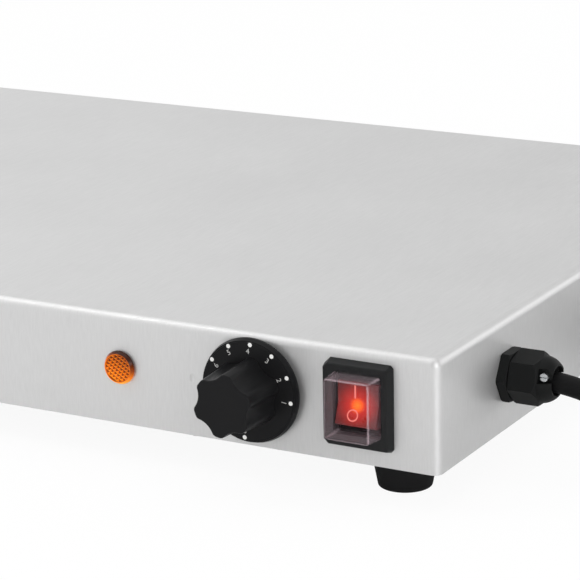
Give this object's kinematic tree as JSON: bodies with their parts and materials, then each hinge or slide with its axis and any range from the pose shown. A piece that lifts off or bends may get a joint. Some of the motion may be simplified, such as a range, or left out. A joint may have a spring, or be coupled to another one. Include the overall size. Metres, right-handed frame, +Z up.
{
  "type": "hot plate burner",
  "caption": "Low stainless food-warming plate on rubber feet, with a rotary thermostat, lit rocker switch under a clear cap, pilot lamp and side cable gland with mains cord.",
  "frame": {"origin": "on the table, midway between the two sides and midway between the front face of the knob and the rear panel", "axes": "+X to the right seen from the front, +Y from the front panel to the rear, +Z up"},
  "size_m": [0.7575, 0.408, 0.066],
  "materials": {
    "brushed_stainless": "brushed, fine grain",
    "galvanised_sheet": "galvanised, matt",
    "zinc_hardware": "bright zinc plate",
    "foot_rubber": "moulded, matt",
    "spreader_aluminium": "mill finish",
    "element_sheath": "oxidised stainless sheath",
    "ceramic_wool": "needled blanket",
    "phenolic_black": "moulded phenolic, satin gloss",
    "body_phenolic": "moulded phenolic, matt",
    "plated_brass": "tin-plated brass",
    "capillary_copper": "drawn copper",
    "switch_black": "moulded nylon, fine texture",
    "rocker_red": "translucent polycarbonate",
    "cap_clear": "clear flexible PVC",
    "neon_glass": "clear glass",
    "lens_amber": "translucent polycarbonate",
    "lamp_plastic": "moulded nylon",
    "gland_nylon": "moulded nylon",
    "seal_rubber": "moulded",
    "cord_rubber": "extruded sheath, satin",
    "tie_plastic": "woven hook and loop",
    "terminal_ceramic": "glazed ceramic",
    "wire_silicone": "silicone insulation"
  },
  "bodies": {
    "root": {"bottom_plate": "galvanised_sheet", "bottom_screws": "zinc_hardware", "bulb_clips": "galvanised_sheet", "capillary_tube": "capillary_copper", "clamp_nuts": "zinc_hardware", "coil_tie": "tie_plastic", "control_wires": "wire_silicone", "cord_coil": "cord_rubber", "cord_end": "cord_rubber", "earth_stud": "zinc_hardware", "earth_wire": "wire_silicone", "element_clamps": "galvanised_sheet", "element_wires": "wire_silicone", "foot_front_left": "foot_rubber", "foot_front_right": "foot_rubber", "foot_nuts": "zinc_hardware", "foot_rear_left": "foot_rubber", "foot_rear_right": "foot_rubber", "foot_screws": "zinc_hardware", "foot_washers": "zinc_hardware", "gland_body": "gland_nylon", "gland_locknut": "gland_nylon", "gland_nut": "gland_nylon", "gland_screws": "zinc_hardware", "gland_seal": "seal_rubber", "heat_shield": "galvanised_sheet", "heat_spreader": "spreader_aluminium", "heating_element": "element_sheath", "insulation_blanket": "ceramic_wool", "lamp_body": "lamp_plastic", "lamp_clip": "galvanised_sheet", "lamp_lens": "lens_amber", "lamp_neon": "neon_glass", "lamp_wires": "wire_silicone", "mains_cord": "cord_rubber", "plug_body": "cord_rubber", "plug_lead": "cord_rubber", "plug_pins": "plated_brass", "sensor_bulb": "capillary_copper", "shield_nuts": "zinc_hardware", "supply_wires": "wire_silicone", "switch_cap": "cap_clear", "switch_frame": "switch_black", "switch_housing": "switch_black", "switch_neon": "neon_glass", "switch_terminals": "plated_brass", "terminal_block": "terminal_ceramic", "terminal_screws": "zinc_hardware", "thermal_cutout": "body_phenolic", "thermostat_body": "body_phenolic", "thermostat_bracket": "galvanised_sheet", "thermostat_screws": "zinc_hardware", "thermostat_terminals": "plated_brass", "top_cover": "brushed_stainless", "weld_studs": "zinc_hardware"},
    "knob": {"control_knob": "phenolic_black", "thermostat_shaft": "zinc_hardware", "knob_spring": "zinc_hardware"},
    "rocker": {"switch_rocker": "rocker_red"}
  },
  "joints": [
    {"name": "knob_turn", "type": "hinge", "parent": "root", "child": "knob", "pos_m": [0.2138, -0.176, 0.042], "axis": [0, -1, 0], "range_deg": [0, 275]},
    {"name": "rocker_tilt", "type": "hinge", "parent": "root", "child": "rocker", "pos_m": [0.264, -0.173, 0.042], "axis": [1, 0, 0], "range_deg": [0, 20]}
  ]
}
